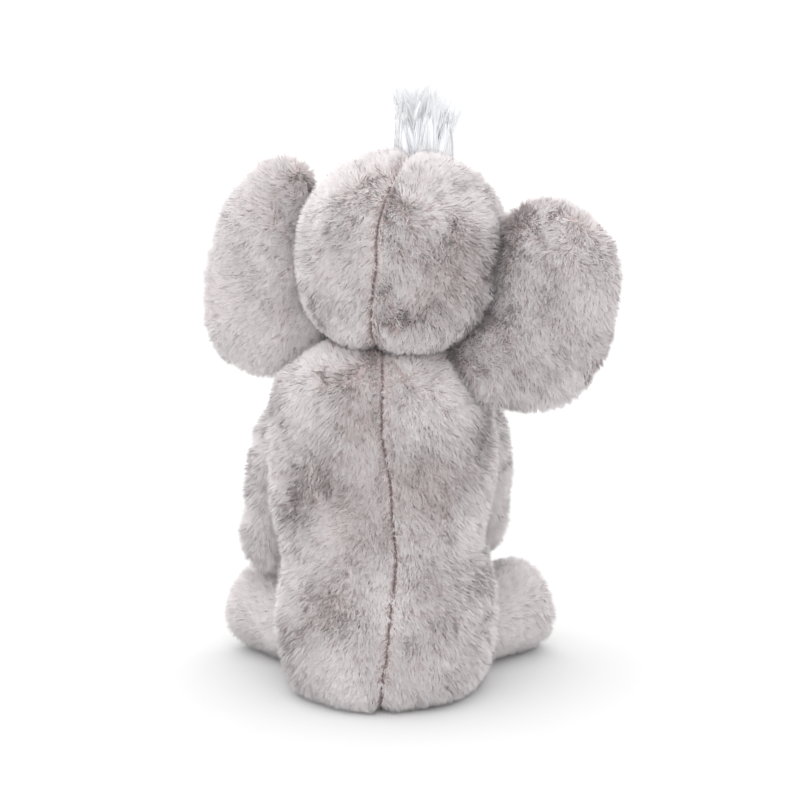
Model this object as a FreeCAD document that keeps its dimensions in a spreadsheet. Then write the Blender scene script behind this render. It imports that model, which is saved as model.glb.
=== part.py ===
import FreeCAD, Part
import math
import os
import PartDesign
import Sketcher
from FreeCAD import Placement, Rotation, Vector

# A seated plush elephant.  It faces -Y, its left side is +X, and the origin is the centre of
# the flat seat.  Soft forms are lofts through rings.  Each skin is the outer loft less an
# inner one, cut into sewn panels, and the inner loft is the stuffing.

NUMBERS = {
    "skin": 3.0,
    "clearance": 0.6,
    "seat_level": 3.0,
    "neck_x": -4.0,
    "neck_z": 168.0,
    "neck_ball": 20.0,
    "head_turn": -18.0,
    "head_lean": -5.5,
    "face_half": 20.0,
    "trunk_ball": 17.0,
    "trunk_root_y": -42.0,
    "trunk_root_z": 40.0,
    "trunk_dish_extra": 1.5,
    "trunk_rest_tilt": 129.0,
    "trunk_rest_length": 36.0,
    "shoulder_dish": 17.0,
    "arm_rest_radius": 14.8,
    "arm_rest_length": 38.0,
    "hip_ball": 20.0,
    "hip_room": 1.3,
    "sole_start": 35.5,
    "ear_root_x": 46.5,
    "ear_root_z": 31.0,
    "ear_centre": 18.0,
    "ear_reach": 35.0,
    "ear_rise": 48.0,
    "ear_depth": 12.5,
    "ear_skin": 2.5,
    "ear_cut": 5.0,
    "ear_groove": 12.6,
    "ear_sweep_left": -8.0,
    "ear_sweep_right": 4.0,
    "ear_slant": 3.0,
    "pouch_y": 8.0,
    "pouch_z": 18.5,
    "pouch_width": 26.0,
    "pouch_deep": 24.0,
    "pouch_rise": 11.0,
    "pouch_skin": 1.0,
    "eye_radius": 5.2,
    "eye_dome": 3.6,
    "eye_flange": 0.8,
    "eye_room": 0.3,
    "shank_radius": 1.5,
    "shank_length": 10.0,
    "shank_hole": 1.7,
    "washer_radius": 6.5,
    "washer_hole": 1.6,
    "washer_thick": 1.6,
    "washer_depth": 3.8,
    "washer_room": 7.0,
    "eye_angle": 30.0,
    "eye_z": 52.0,
    "eye_tilt": 7.0,
}

# Rings of every form: centre y, centre z, tilt about X, radius.
RINGS = {
    "torso": [
        (0, 0, 0, 35),
        (0, 3, 0, 41),
        (0, 9, 0, 46.5),
        (-1, 20, 0, 50.5),
        (-2, 33, 0, 51.5),
        (-3, 50, 0, 50),
        (-3, 68, 0, 46),
        (-2, 88, 0, 42.5),
        (-1, 108, 0, 41.5),
        (0, 130, 0, 42),
        (0, 144, 0, 40.5),
        (0, 154, 0, 37.5),
        (0, 161, 0, 32),
        (0, 164, 0, 26),
    ],
    "head": [
        (0, 2.5, 0, 24),
        (0, 6.5, 0, 32.5),
        (-1, 15, 0, 40.5),
        (-2, 27, 0, 45.5),
        (-2, 42, 0, 47.5),
        (-1, 58, 0, 46),
        (0, 72, 0, 39),
        (1, 82, 0, 29),
        (1, 88, 0, 18),
        (1, 90.5, 0, 9),
    ],
    "trunk": [
        (-29.7, 48.6, 125, 8),
        (-32.6, 46.6, 125, 12.5),
        (-42, 40, 125, 17),
        (-53.5, 32, 130, 16.5),
        (-62.5, 21.3, 145, 15.5),
        (-68.4, 8.6, 153, 14.2),
        (-75.4, -3.5, 142, 13.2),
        (-84.6, -11.2, 122, 12.6),
        (-92.1, -13.9, 108, 11.8),
        (-95, -14.6, 104, 9),
    ],
    "arm": [
        (0, -13.4, 0, 4),
        (0, -10.7, 0, 9),
        (0, -5, 0, 13.1),
        (0, 4, 0, 13.8),
        (0, 22, 0, 13),
        (0, 42, 0, 13.2),
        (0, 57, 0, 14.6),
        (0, 66, 0, 14.6),
        (0, 73, 0, 12),
        (0, 76.5, 0, 8.7),
        (0, 78.5, 0, 4.5),
    ],
    "leg": [
        (0, -19, 0, 6.5),
        (0, -16, 0, 12),
        (0, -8.5, 0, 18.1),
        (0, 0, 0, 20),
        (0, 15, 0, 21.2),
        (0, 28, 0, 22),
        (0, 35.5, 0, 21),
        (0, 38, 0, 18),
    ],
    "tuft": [
        (-11, 84, 0, 10),
        (-11, 94, 0, 11.5),
        (-12, 106, 0, 12),
        (-12, 116, 0, 8),
        (-12, 121, 0, 3),
    ],
}

# Where each limb's root ball sits and which way the limb points.
LIMBS = {
    "arm_left": ((47.5, -14, 123), (0.14, -0.36, -0.92)),
    "arm_right": ((-43.5, -24, 123), (-0.02, -0.50, -0.866)),
    "leg_left": ((41, -34, 20.2), (0.65, -0.755, 0.083)),
    "leg_right": ((-43.5, -35, 20.2), (-0.72, -0.69, 0.083)),
}

# How far the arm has swung forward where its hollow in the torso is cut, in degrees.
ARM_SWINGS = (0, 12, 24)

RING_FIELDS = ("y", "z", "tilt", "radius")
RING_SPIN = 75.0
BIG = 400.0

doc = FreeCAD.newDocument("elephant")
sheet = doc.addObject("Spreadsheet::Sheet", "Sizes")
nodes = []


def fill_sheet():
    """Every driving dimension goes in the sheet under its own alias."""
    table = dict(NUMBERS)
    for form, rings in RINGS.items():
        for place, ring in enumerate(rings):
            for field, value in zip(RING_FIELDS, ring):
                table[f"{form}_{place}_{field}"] = value
    for limb, (root, along) in LIMBS.items():
        for axis, value in zip("xyz", root):
            table[f"{limb}_root_{axis}"] = value
        for axis, value in zip("xyz", along):
            table[f"{limb}_along_{axis}"] = value
    for row, (alias, value) in enumerate(table.items(), start=1):
        sheet.set(f"A{row}", alias)
        sheet.set(f"B{row}", str(value))
        sheet.setAlias(f"B{row}", alias)
    doc.recompute()


def size(alias):
    return float(getattr(sheet, alias))


def bind(obj, **fields):
    """Bind properties to sheet expressions; words in an expression are sheet aliases."""
    for field, text in fields.items():
        obj.setExpression(field.replace("__", "."), text)


def loft(form, inset=False):
    """A closed solid through the rings of a form, or the smaller one inside its skin."""
    last = len(RINGS[form]) - 1
    chosen = range(1, last) if inset else range(last + 1)
    less = " - Sizes.skin" if inset else ""
    spin = Rotation(Vector(0, 0, 1), RING_SPIN)
    rings = []
    for place in chosen:
        ring = doc.addObject("Part::Circle", f"{form}_ring")
        key = f"Sizes.{form}_{place}"
        tilt = Rotation(Vector(1, 0, 0), size(f"{form}_{place}_tilt"))
        ring.Placement = Placement(Vector(), tilt.multiply(spin))
        bind(ring, Radius=f"{key}_radius{less}",
             Placement__Base__y=f"{key}_y", Placement__Base__z=f"{key}_z")
        rings.append(ring)
    solid = doc.addObject("Part::Loft", f"{form}_inner" if inset else f"{form}_outer")
    solid.Sections = rings
    solid.Solid = True
    solid.Ruled = False
    return solid


def ball(radius, centre):
    sphere = doc.addObject("Part::Sphere", "ball")
    bind(sphere, Radius=radius)
    sphere.Placement.Base = centre
    return sphere


def ellipsoid(rise, width, depth, centre):
    oval = doc.addObject("Part::Ellipsoid", "oval")
    bind(oval, Radius1=rise, Radius2=width, Radius3=depth)
    oval.Angle1 = -90
    oval.Angle2 = 90
    oval.Placement.Base = centre
    return oval


def block(x=(-BIG, BIG), y=(-BIG, BIG), z=(-BIG, BIG)):
    """A box between limits, used to keep or drop one side of a form."""
    box = doc.addObject("Part::Box", "block")
    box.Length = x[1] - x[0]
    box.Width = y[1] - y[0]
    box.Height = z[1] - z[0]
    box.Placement.Base = Vector(x[0], y[0], z[0])
    return box


def rod(radius, length, place):
    """A cylinder centred on the origin of place, along its own Z."""
    cylinder = doc.addObject("Part::Cylinder", "rod")
    bind(cylinder, Radius=radius)
    cylinder.Height = length
    cylinder.Placement = place.multiply(Placement(Vector(0, 0, -length / 2), Rotation()))
    return cylinder


def join(*tools):
    fused = doc.addObject("Part::MultiFuse", "joined")
    fused.Shapes = list(tools)
    return fused


def cut(base, tool):
    result = doc.addObject("Part::Cut", "cut")
    result.Base = base
    result.Tool = tool
    return result


def keep(base, tool):
    result = doc.addObject("Part::Common", "kept")
    result.Base = base
    result.Tool = tool
    return result


def node(label, obj, place=None):
    """Name a finished piece and put it in its place."""
    obj.Label = label
    if place is not None:
        obj.Placement = place
    nodes.append(obj)
    return obj


def sketch_on(body, name, plane):
    sketch = body.newObject("Sketcher::SketchObject", name)
    support = next(f for f in body.Origin.OriginFeatures if f.Role == plane)
    sketch.AttachmentSupport = (support, [""])
    sketch.MapMode = "FlatFace"
    return sketch


def limb_place(limb):
    """The limb's frame: origin at its root ball, Z along the limb, X away from the body."""
    root = Vector(*(size(f"{limb}_root_{axis}") for axis in "xyz"))
    along = Vector(*(size(f"{limb}_along_{axis}") for axis in "xyz"))
    outward = Vector(math.copysign(1, root.x), 0, 0)
    return Placement(root, Rotation(outward, Vector(), along, "ZXY"))


def ear_place(side):
    """The ear's frame inside the head: Z up the ear seam, X out along the ear."""
    root = Vector(side * size("ear_root_x"), 0, size("ear_root_z"))
    turn = size("ear_sweep_left") if side > 0 else 180 - size("ear_sweep_right")
    slant = Rotation(Vector(0, 1, 0), size("ear_slant"))
    return Placement(root, Rotation(Vector(0, 0, 1), turn).multiply(slant))


def eye_place(side):
    """The eye's frame inside the head: origin on the skin, Z straight out of the face."""
    ring = 5
    angle = math.radians(size("eye_angle"))
    x = side * size(f"head_{ring}_radius") * math.sin(angle)
    y = size(f"head_{ring}_y") - size(f"head_{ring}_radius") * math.cos(angle)
    tilt = math.tan(math.radians(size("eye_tilt")))
    out = Vector(side * math.sin(angle), -math.cos(angle), tilt)
    return Placement(Vector(x, y, size("eye_z")), Rotation(Vector(0, 0, 1), out))


def arm_rests():
    """The hollows in the torso's sides that the arms lie in as they swing."""
    length = size("arm_rest_length")
    middle = Placement(Vector(0, 0, length / 2), Rotation())
    rests = []
    for limb in ("arm_left", "arm_right"):
        place = limb_place(limb)
        for swing in ARM_SWINGS:
            forward = Rotation(Vector(-1, 0, 0), swing).multiply(place.Rotation)
            swung = Placement(place.Base, forward).multiply(middle)
            rests.append(rod("Sizes.arm_rest_radius", length, swung))
    return rests


def build_torso():
    roots = {limb: limb_place(limb).Base for limb in LIMBS}
    dishes = join(
        ball("Sizes.shoulder_dish", roots["arm_left"]),
        ball("Sizes.shoulder_dish", roots["arm_right"]),
        ball("Sizes.hip_ball + Sizes.hip_room", roots["leg_left"]),
        ball("Sizes.hip_ball + Sizes.hip_room", roots["leg_right"]),
        ball("Sizes.neck_ball + Sizes.clearance", Vector(size("neck_x"), 0, size("neck_z"))),
        *arm_rests(),
    )
    outer = loft("torso")
    inner = loft("torso", inset=True)
    skin = cut(cut(outer, inner), dishes)
    seat = size("seat_level")
    node("seat_panel", keep(skin, block(z=(-BIG, seat))))
    above = (seat, BIG)
    node("tummy_panel", keep(skin, block(y=(-BIG, 0), z=above)))
    node("back_panel_left", keep(skin, block(x=(0, BIG), y=(0, BIG), z=above)))
    node("back_panel_right", keep(skin, block(x=(-BIG, 0), y=(0, BIG), z=above)))

    middle = Vector(0, size("pouch_y"), size("pouch_z"))
    pouch = ellipsoid("Sizes.pouch_rise", "Sizes.pouch_width", "Sizes.pouch_deep", middle)
    pellets = ellipsoid("Sizes.pouch_rise - Sizes.pouch_skin",
                        "Sizes.pouch_width - Sizes.pouch_skin",
                        "Sizes.pouch_deep - Sizes.pouch_skin", middle)
    node("body_stuffing", cut(cut(inner, dishes), pouch))
    node("pellet_pouch", cut(pouch, pellets))
    node("pellets", pellets)


def build_eye(side, label, place):
    """A domed plastic safety eye with its shank, turned about the shank's axis."""
    body = doc.addObject("PartDesign::Body", label)
    sketch = sketch_on(body, label + "_profile", "XZ_Plane")
    radius = size("eye_radius")
    dome = size("eye_dome")
    flange = size("eye_flange")
    shank = size("shank_radius")
    length = size("shank_length")
    rise = (dome ** 2 + radius ** 2) / (2 * dome)
    centre = Vector(0, flange + dome - rise, 0)
    start = math.atan2(flange - centre.y, radius)
    arc = Part.ArcOfCircle(Part.Circle(centre, Vector(0, 0, 1), rise), start, math.pi / 2)
    corners = [(0, flange + dome), (0, -length), (shank, -length), (shank, 0),
               (radius, 0), (radius, flange)]
    for (x1, y1), (x2, y2) in zip(corners, corners[1:]):
        sketch.addGeometry(Part.LineSegment(Vector(x1, y1, 0), Vector(x2, y2, 0)), False)
    sketch.addGeometry(arc, False)
    for line in range(4):
        sketch.addConstraint(Sketcher.Constraint("Coincident", line, 2, line + 1, 1))
    sketch.addConstraint(Sketcher.Constraint("Coincident", 4, 2, 5, 1))
    sketch.addConstraint(Sketcher.Constraint("Coincident", 5, 2, 0, 1))
    sketch.addConstraint(Sketcher.Constraint("PointOnObject", 5, 3, -2))
    for upright in (0, 2, 4):
        sketch.addConstraint(Sketcher.Constraint("Vertical", upright))
    for level in (1, 3):
        sketch.addConstraint(Sketcher.Constraint("Horizontal", level))
    sketch.addConstraint(Sketcher.Constraint("PointOnObject", 0, 1, -2))
    sketch.addConstraint(Sketcher.Constraint("PointOnObject", 3, 2, -1))
    driven = [
        ("DistanceX", (-1, 1, 3, 2), "Sizes.eye_radius", radius),
        ("DistanceX", (-1, 1, 1, 2), "Sizes.shank_radius", shank),
        ("DistanceY", (4, 1, 4, 2), "Sizes.eye_flange", flange),
        ("DistanceY", (0, 2, 0, 1),
         "Sizes.shank_length + Sizes.eye_flange + Sizes.eye_dome", length + flange + dome),
        ("DistanceY", (1, 2, 2, 2), "Sizes.shank_length", length),
    ]
    for kind, points, text, value in driven:
        place_in_sketch = sketch.addConstraint(Sketcher.Constraint(kind, *points, value))
        sketch.setExpression(f"Constraints[{place_in_sketch}]", text)
    turned = body.newObject("PartDesign::Revolution", label + "_turned")
    turned.Profile = sketch
    turned.ReferenceAxis = (sketch, ["V_Axis"])
    turned.Angle = 360
    body.Tip = turned
    node(label, body, place)


def build_washer(label, place):
    """The locking washer pushed on to the shank behind the skin."""
    body = doc.addObject("PartDesign::Body", label)
    sketch = sketch_on(body, label + "_ring", "XY_Plane")
    for row, alias in enumerate(("washer_radius", "washer_hole")):
        circle = Part.Circle(Vector(), Vector(0, 0, 1), size(alias))
        sketch.addGeometry(circle, False)
        sketch.addConstraint(Sketcher.Constraint("Coincident", row, 3, -1, 1))
        index = sketch.addConstraint(Sketcher.Constraint("Radius", row, size(alias)))
        sketch.setExpression(f"Constraints[{index}]", f"Sizes.{alias}")
    pad = body.newObject("PartDesign::Pad", label + "_plate")
    pad.Profile = sketch
    bind(pad, Length="Sizes.washer_thick")
    pad.Reversed = True
    body.Tip = pad
    depth = Placement(Vector(0, 0, -size("washer_depth")), Rotation())
    node(label, body, place.multiply(depth))


def build_head(head):
    trunk_root = Vector(0, size("trunk_root_y"), size("trunk_root_z"))
    trunk_way = Placement(trunk_root, Rotation(Vector(1, 0, 0), size("trunk_rest_tilt")))
    rest = size("trunk_rest_length")
    trunk_rest = trunk_way.multiply(Placement(Vector(0, 0, rest / 2), Rotation()))
    shank = size("shank_length")
    skin_deep = size("skin")
    seat = Placement(Vector(0, 0, 2 * skin_deep - 0.05), Rotation())
    openings = [
        ball("Sizes.neck_ball + Sizes.clearance", Vector()),
        ball("Sizes.trunk_ball + Sizes.trunk_dish_extra", trunk_root),
        rod("Sizes.trunk_ball + Sizes.clearance", rest, trunk_rest),
        rod("Sizes.ear_groove", 130, ear_place(1)),
        rod("Sizes.ear_groove", 130, ear_place(-1)),
    ]
    rooms = []
    for side in (1, -1):
        openings.append(rod("Sizes.shank_hole", 4 * skin_deep, eye_place(side)))
        openings.append(rod("Sizes.eye_radius + Sizes.eye_room", 4 * skin_deep,
                            eye_place(side).multiply(seat)))
        deep = Placement(Vector(0, 0, -skin_deep - shank / 2), Rotation())
        rooms.append(rod("Sizes.washer_room", shank, eye_place(side).multiply(deep)))
    outer = loft("head")
    inner = loft("head", inset=True)
    dishes = join(*openings)
    skin = cut(cut(outer, inner), dishes)
    half = size("face_half")
    face = block(x=(-half, half), y=(-BIG, 0))
    node("face_panel", keep(skin, face), head)
    node("head_panel_left", cut(keep(skin, block(x=(0, BIG))), face), head)
    node("head_panel_right", cut(keep(skin, block(x=(-BIG, 0))), face), head)
    node("head_stuffing", cut(inner, join(*openings, *rooms)), head)
    node("hair_tuft", cut(loft("tuft"), outer), head)
    for side, name in ((1, "left"), (-1, "right")):
        place = head.multiply(eye_place(side))
        build_eye(side, "eye_" + name, place)
        build_washer("eye_washer_" + name, place)


def build_trunk(head):
    outer = loft("trunk")
    inner = loft("trunk", inset=True)
    skin = cut(outer, inner)
    node("trunk_panel_left", keep(skin, block(x=(0, BIG))), head)
    node("trunk_panel_right", keep(skin, block(x=(-BIG, 0))), head)
    node("trunk_stuffing", keep(inner, block()), head)


def build_ears(head):
    middle = Vector(size("ear_centre"), 0, 0)
    cut_at = -size("ear_cut")
    thick = size("ear_skin")
    whole = ellipsoid("Sizes.ear_rise", "Sizes.ear_reach", "Sizes.ear_depth", middle)
    core = ellipsoid("Sizes.ear_rise - Sizes.ear_skin", "Sizes.ear_reach - Sizes.ear_skin",
                     "Sizes.ear_depth - Sizes.ear_skin", middle)
    outer = keep(whole, block(x=(cut_at, BIG)))
    inner = keep(core, block(x=(cut_at + thick, BIG)))
    skin = cut(outer, inner)
    for side, name in ((1, "left"), (-1, "right")):
        place = head.multiply(ear_place(side))
        rear = (0, BIG) if side > 0 else (-BIG, 0)
        front = (-BIG, 0) if side > 0 else (0, BIG)
        node("ear_back_" + name, keep(skin, block(y=rear)), place)
        node("ear_lining_" + name, keep(skin, block(y=front)), place)
        node("ear_padding_" + name, keep(inner, block()), place)


def build_arms():
    outer = loft("arm")
    inner = loft("arm", inset=True)
    skin = cut(outer, inner)
    for name in ("left", "right"):
        place = limb_place("arm_" + name)
        node("arm_outer_" + name, keep(skin, block(x=(0, BIG))), place)
        node("arm_inner_" + name, keep(skin, block(x=(-BIG, 0))), place)
        node("arm_stuffing_" + name, keep(inner, block()), place)


def build_legs():
    outer = loft("leg")
    inner = loft("leg", inset=True)
    skin = cut(outer, inner)
    sole = size("sole_start")
    for name in ("left", "right"):
        place = limb_place("leg_" + name)
        node("leg_skin_" + name, keep(skin, block(z=(-BIG, sole))), place)
        node("sole_" + name, keep(skin, block(z=(sole, BIG))), place)
        node("leg_stuffing_" + name, keep(inner, block()), place)


def check_and_write():
    doc.recompute()
    for obj in doc.Objects:
        if "Invalid" in obj.State or "Error" in obj.State:
            raise RuntimeError(f"{obj.Label} did not build: {obj.State}")
    os.makedirs("parts", exist_ok=True)
    for obj in nodes:
        if obj.Shape.isNull() or not obj.Shape.isValid():
            raise RuntimeError(f"{obj.Label} is not a valid shape")
        obj.Shape.exportStep(f"parts/{obj.Label}.step")


fill_sheet()
lean = Rotation(Vector(0, 1, 0), size("head_lean"))
turn = Rotation(Vector(0, 0, 1), size("head_turn"))
head_place = Placement(Vector(size("neck_x"), 0, size("neck_z")), lean.multiply(turn))
build_torso()
neck_centre = Vector(size("neck_x"), 0, size("neck_z"))
node("neck_stuffing", ball("Sizes.neck_ball", neck_centre))
build_head(head_place)
build_trunk(head_place)
build_ears(head_place)
build_arms()
build_legs()
check_and_write()
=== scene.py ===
import math

import bpy
import numpy as np
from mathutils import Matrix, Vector


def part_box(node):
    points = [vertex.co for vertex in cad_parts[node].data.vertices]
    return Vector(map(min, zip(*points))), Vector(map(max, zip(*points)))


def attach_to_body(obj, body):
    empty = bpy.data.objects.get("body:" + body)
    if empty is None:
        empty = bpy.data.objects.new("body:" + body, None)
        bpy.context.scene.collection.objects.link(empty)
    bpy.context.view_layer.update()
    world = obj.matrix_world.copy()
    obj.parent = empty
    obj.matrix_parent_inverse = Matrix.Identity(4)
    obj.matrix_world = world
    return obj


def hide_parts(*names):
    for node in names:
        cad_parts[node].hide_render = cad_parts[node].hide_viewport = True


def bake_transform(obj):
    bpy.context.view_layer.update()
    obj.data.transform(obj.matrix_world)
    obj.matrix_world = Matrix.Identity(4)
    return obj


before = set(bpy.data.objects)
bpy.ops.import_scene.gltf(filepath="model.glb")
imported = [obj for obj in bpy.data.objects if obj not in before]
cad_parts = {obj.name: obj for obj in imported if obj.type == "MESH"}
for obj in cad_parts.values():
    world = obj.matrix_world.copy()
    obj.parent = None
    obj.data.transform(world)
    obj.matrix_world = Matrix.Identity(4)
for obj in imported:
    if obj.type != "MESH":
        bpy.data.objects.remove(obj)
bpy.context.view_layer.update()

MM = 0.001


# ---------------------------------------------------------------- small helpers
def turn(axis, degrees):
    """A 3 x 3 rotation about X, Y or Z."""
    a = math.radians(degrees)
    c, s = math.cos(a), math.sin(a)
    i = "XYZ".index(axis)
    j, k = (i + 1) % 3, (i + 2) % 3
    m = np.eye(3)
    m[j, j], m[j, k], m[k, j], m[k, k] = c, -s, s, c
    return m


def unit(v):
    return v / np.maximum(np.linalg.norm(v, axis=-1, keepdims=True), 1e-12)


def ease(low, high, x):
    t = np.clip((x - low) / (high - low), 0, 1)
    return t * t * (3 - 2 * t)


def waves(points, size, seed):
    """Smooth noise in about -1..1 with features of the given size, from seeded sine waves."""
    rng = np.random.default_rng(seed)
    ways = unit(rng.normal(size=(9, 3))) * (2 * math.pi / size)
    ways *= rng.uniform(0.6, 1.5, size=(9, 1))
    starts = rng.uniform(0, 2 * math.pi, size=9)
    return np.sin(points @ ways.T + starts).sum(1) / 3.2


class Place:
    """A frame: its rotation's columns are its axes, and its origin is in metres."""

    def __init__(self, rotation, origin):
        self.r = np.asarray(rotation, float)
        self.o = np.asarray(origin, float)

    def points(self, p):
        return p @ self.r.T + self.o

    def ways(self, v):
        return v @ self.r.T

    def inside(self, other):
        return Place(self.r @ other.r, self.points(other.o))


WORLD = Place(np.eye(3), np.zeros(3))
HEAD = Place(turn("Y", -5.5) @ turn("Z", -18), np.array([-4, 0, 168]) * MM)


def limb_place(root, along):
    """A limb's frame: Z runs along it from its root, and X points outwards."""
    z = unit(np.array(along, float))
    x = np.array([math.copysign(1, root[0]), 0, 0])
    x = unit(x - z * (x @ z))
    return Place(np.stack([x, np.cross(z, x), z], 1), np.array(root) * MM)


def ear_place(side):
    """An ear's frame, in the head's: X runs outwards, Z up."""
    sweep = -8 if side > 0 else 176
    local = Place(turn("Z", sweep) @ turn("Y", 3), np.array([side * 46.5, 0, 31]) * MM)
    return HEAD.inside(local)


# ---------------------------------------------------------------- soft forms
def smooth_rows(rows, steps):
    """Catmull-Rom through the rows, with steps points for each span."""
    rows = np.array(rows, float)
    padded = np.vstack([2 * rows[0] - rows[1], rows, 2 * rows[-1] - rows[-2]])
    out = []
    for i in range(1, len(padded) - 2):
        a, b, c, d = padded[i - 1:i + 3]
        for t in np.arange(steps) / steps:
            out.append(0.5 * (2 * b + (c - a) * t + (2 * a - 5 * b + 4 * c - d) * t * t
                              + (3 * b - a - 3 * c + d) * t ** 3))
    out.append(rows[-1])
    return np.array(out)


class Form:
    """A closed soft surface: vertices in its own frame, faces, and each face's centre."""

    def __init__(self, verts, faces, place):
        self.verts = np.asarray(verts, float)
        self.faces = faces
        self.place = place
        self.gap = np.full(len(self.verts), 1.0)
        self.away = np.zeros_like(self.verts)

    def tris(self):
        out = []
        for f in self.faces:
            out.append(f[:3])
            if len(f) == 4:
                out.append((f[0], f[2], f[3]))
        return np.array(out)

    def normals(self):
        tris = self.tris()
        a, b, c = (self.verts[tris[:, k]] for k in range(3))
        flat = np.cross(b - a, c - a)
        n = np.zeros_like(self.verts)
        for k in range(3):
            np.add.at(n, tris[:, k], flat)
        return unit(n)

    def push(self, amount):
        """Move every vertex along its normal."""
        self.verts = self.verts + self.normals() * np.asarray(amount)[:, None]

    def sew(self, where, axis=0):
        """Mark the seam at zero along an axis, for the vertices where it runs."""
        side = self.verts[:, axis]
        self.gap = np.where(where, np.minimum(self.gap, np.abs(side)), self.gap)
        self.away[where, axis] = np.sign(side[where])

    def face_centres(self):
        return np.array([self.verts[list(f)].mean(0) for f in self.faces])


def puff(form, sewn, cap, pressure=6.0, stiffness=2.0):
    """Fill a form as stuffing does: Cloth pressure swells it between its sewn lines.  The
    simulation runs at ten times life size, and no point ends further out than the cap, in mm."""
    scale, frames = 10.0, 20
    mesh = bpy.data.meshes.new("swelling")
    mesh.from_pydata([tuple(v) for v in form.verts * scale], [], [tuple(f) for f in form.faces])
    obj = bpy.data.objects.new("swelling", mesh)
    bpy.context.collection.objects.link(obj)
    group = obj.vertex_groups.new(name="sewn")
    group.add([int(i) for i in np.flatnonzero(sewn)], 1.0, "REPLACE")
    cloth = obj.modifiers.new("stuffing", "CLOTH")
    cloth.point_cache.frame_start = 1
    cloth.point_cache.frame_end = frames
    cloth.settings.use_pressure = True
    cloth.settings.uniform_pressure_force = pressure
    cloth.settings.vertex_group_mass = "sewn"
    cloth.settings.effector_weights.gravity = 0
    cloth.settings.tension_stiffness = stiffness
    cloth.settings.compression_stiffness = stiffness
    cloth.settings.shear_stiffness = stiffness / 3
    cloth.settings.bending_stiffness = 0.3
    for step in range(1, frames + 1):
        bpy.context.scene.frame_set(step)
    swollen = obj.evaluated_get(bpy.context.evaluated_depsgraph_get())
    out = np.empty(len(form.verts) * 3, np.float32)
    swollen.data.vertices.foreach_get("co", out)
    move = out.reshape(-1, 3) / scale - form.verts
    size = np.linalg.norm(move, axis=1, keepdims=True)
    limit = cap * MM
    form.verts = form.verts + move * limit * np.tanh(size / limit) / np.maximum(size, 1e-9)
    bpy.data.objects.remove(obj)
    bpy.data.meshes.remove(mesh)
    bpy.context.scene.frame_set(1)


def tube(rings, sides, steps, place, inset):
    """A closed tube through rings of (y, z, tilt, radius) in mm, inset by its pile."""
    rows = smooth_rows(rings, steps)
    angle = np.arange(sides) / sides * 2 * math.pi
    verts = []
    for y, z, tilt, radius in rows:
        r = max(radius - inset, 0.6)
        ring = np.stack([np.cos(angle) * r, np.sin(angle) * r, np.zeros(sides)], 1)
        verts.append(ring @ turn("X", tilt).T + [0, y, z])
    verts = np.vstack(verts)
    count = len(rows)
    faces = []
    for i in range(count - 1):
        for j in range(sides):
            k = (j + 1) % sides
            faces.append((i * sides + j, i * sides + k, (i + 1) * sides + k, (i + 1) * sides + j))
    ends = [(0, rows[0]), (count - 1, rows[-1])]
    for end, row in ends:
        pole = len(verts)
        verts = np.vstack([verts, [[0, row[0], row[1]]]])
        for j in range(sides):
            k = (j + 1) % sides
            a, b = end * sides + j, end * sides + k
            faces.append((b, a, pole) if end == 0 else (a, b, pole))
    return Form(verts * MM, faces, place)


def pillow(out, inner, rise, thick, middle, place, around=72, across=22):
    """An ear: a padded pillow in the X-Z plane, flat-sided, thinner towards its root."""
    phi = np.arange(around) / around * 2 * math.pi
    power = 2 / 2.35
    cu, sw = np.cos(phi), np.sin(phi)
    u = np.sign(cu) * np.abs(cu) ** power * np.where(cu > 0, out, inner)
    w = np.sign(sw) * np.abs(sw) ** power * rise
    theta = np.linspace(-0.5, 0.5, across + 1)[1:-1] * math.pi
    verts = []
    for t in theta:
        flat = math.cos(t) ** 0.72
        up = math.copysign(abs(math.sin(t)) ** 0.8, t)
        uu = middle + u * flat
        root = 0.62 + 0.38 * ease(-6, 16, uu)
        verts.append(np.stack([uu, thick * up * root, w * flat], 1))
    verts = np.vstack(verts)
    rows = len(theta)
    faces = []
    for i in range(rows - 1):
        for j in range(around):
            k = (j + 1) % around
            faces.append((i * around + j, (i + 1) * around + j, (i + 1) * around + k, i * around + k))
    for end, side in ((0, -1), (rows - 1, 1)):
        pole = len(verts)
        verts = np.vstack([verts, [[middle, side * thick, 0]]])
        for j in range(around):
            k = (j + 1) % around
            a, b = end * around + j, end * around + k
            faces.append((a, b, pole) if end == 0 else (b, a, pole))
    return Form(verts * MM, faces, place)


# ---------------------------------------------------------------- materials
def new_material(name):
    mat = bpy.data.materials.new(name)
    mat.use_nodes = True
    return mat, mat.node_tree, mat.node_tree.nodes["Principled BSDF"]


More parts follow.
